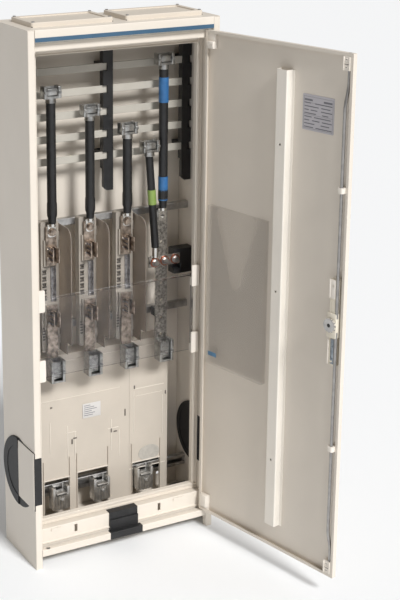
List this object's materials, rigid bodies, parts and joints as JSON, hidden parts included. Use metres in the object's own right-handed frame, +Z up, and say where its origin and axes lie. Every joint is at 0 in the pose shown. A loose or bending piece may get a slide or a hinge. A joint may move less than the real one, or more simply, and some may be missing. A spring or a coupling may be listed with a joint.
{
  "type": "switchboard cabinet",
  "caption": "Shallow floor-standing sheet-steel switchboard cabinet with hinged door, rod lock, fuse bases, stub cables and cable entries.",
  "frame": {"origin": "middle of the back panel's foot edge, on the floor", "axes": "+Z up, front faces -Y, door hinged on the +X side"},
  "size_m": [0.6493, 0.6874, 1.4744],
  "materials": {
    "enamel": "smooth powder coat, pale grey-beige",
    "enamel_door": "smooth powder coat, pale grey-beige",
    "trim_blue": "glossy coloured strip",
    "black_rubber": "matt moulded rubber",
    "black_plastic": "fine-grained black plastic",
    "seal_foam": "foamed strip, light grey",
    "grey_plastic": "light grey moulded plastic",
    "cream_plastic": "cream moulded plastic",
    "white_plastic": "white moulded plastic",
    "zinc": "bright zinc plating",
    "tinned_copper": "tin-plated copper",
    "tinted_plate": "translucent smoke-brown sheet",
    "clear_plate": "clear polycarbonate",
    "pouch": "translucent plastic pouch",
    "label": "printed foil label",
    "sleeve_blue": "heat-shrink sleeve",
    "sleeve_earth": "striped heat-shrink sleeve",
    "lever_grey": "dark moulded lever"
  },
  "bodies": {
    "casing": {"back_panel": "enamel", "bar_supports": "black_plastic", "bridge_bolts": "zinc", "cable_lugs": "tinned_copper", "clamp_rail": "zinc", "corner_cable_pad": "black_rubber", "cover_clips": "white_plastic", "door_seal": "seal_foam", "earth_sleeve": "sleeve_earth", "entry_slide_plates": "enamel", "floor_grommet": "black_rubber", "floor_panel": "enamel", "fuse_base_l1": "grey_plastic", "fuse_base_l2": "grey_plastic", "fuse_base_l3": "grey_plastic", "fuse_contacts_l1": "tinned_copper", "fuse_contacts_l2": "tinned_copper", "fuse_contacts_l3": "tinned_copper", "hinge_pins": "zinc", "incoming_clamps": "zinc", "inner_frame": "enamel", "left_entry_grommet": "black_rubber", "left_side_panel": "enamel", "lower_cover_left": "cream_plastic", "lower_cover_right": "cream_plastic", "mounting_rails": "zinc", "neutral_bars": "tinned_copper", "neutral_sleeves": "sleeve_blue", "phase_barriers": "tinted_plate", "plinth_strip": "enamel", "rack_combs": "black_plastic", "rack_slats": "grey_plastic", "right_entry_grommet": "black_rubber", "right_side_panel": "enamel", "saddle_clamps": "zinc", "sill_cable_block": "black_rubber", "sill_rail": "enamel", "stub_cable_earth": "black_plastic", "stub_cable_l1": "black_plastic", "stub_cable_l2": "black_plastic", "stub_cable_l3": "black_plastic", "stub_cable_neutral": "black_plastic", "stub_clamps": "zinc", "top_entry_plates": "cream_plastic", "top_entry_screws": "zinc", "top_panel": "enamel", "transparent_cover": "clear_plate", "trim_strip": "trim_blue"},
    "door": {"door_pan": "enamel_door", "hinge_blocks": "white_plastic", "door_stiffener": "enamel_door", "document_pocket": "pouch", "rating_plate": "label", "latch_case": "white_plastic", "rod_guides": "white_plastic", "handle_base": "lever_grey"},
    "spindle": {"lock_spindle": "zinc"},
    "lever": {"lock_lever": "lever_grey"},
    "upper_rod": {"upper_rod": "zinc"},
    "lower_rod": {"lower_rod": "zinc"}
  },
  "joints": [
    {"name": "door_hinge", "type": "hinge", "parent": "casing", "child": "door", "pos_m": [0.2455, -0.19625, 0.73], "axis": [0, 0, 1], "range_deg": [-102, 10]},
    {"name": "lock_turn", "type": "hinge", "parent": "door", "child": "spindle", "pos_m": [0.34947, -0.65414, 0.747], "axis": [0.9781, 0.2079, 0], "range_deg": [0, 90]},
    {"name": "lever_swing", "type": "hinge", "parent": "spindle", "child": "lever", "pos_m": [0.36346, -0.65117, 0.747], "axis": [0, 0, -1], "range_deg": [0, 60]},
    {"name": "upper_rod_slide", "type": "slide", "parent": "door", "child": "upper_rod", "axis": [0, 0, 1], "range_m": [0, 0.014]},
    {"name": "lower_rod_slide", "type": "slide", "parent": "door", "child": "lower_rod", "axis": [0, 0, -1], "range_m": [0, 0.014]}
  ],
  "couplings": [
    {"joint": "upper_rod_slide", "follows": "lock_turn", "m_per_rad": 0.0089},
    {"joint": "lower_rod_slide", "follows": "lock_turn", "m_per_rad": 0.0089}
  ]
}
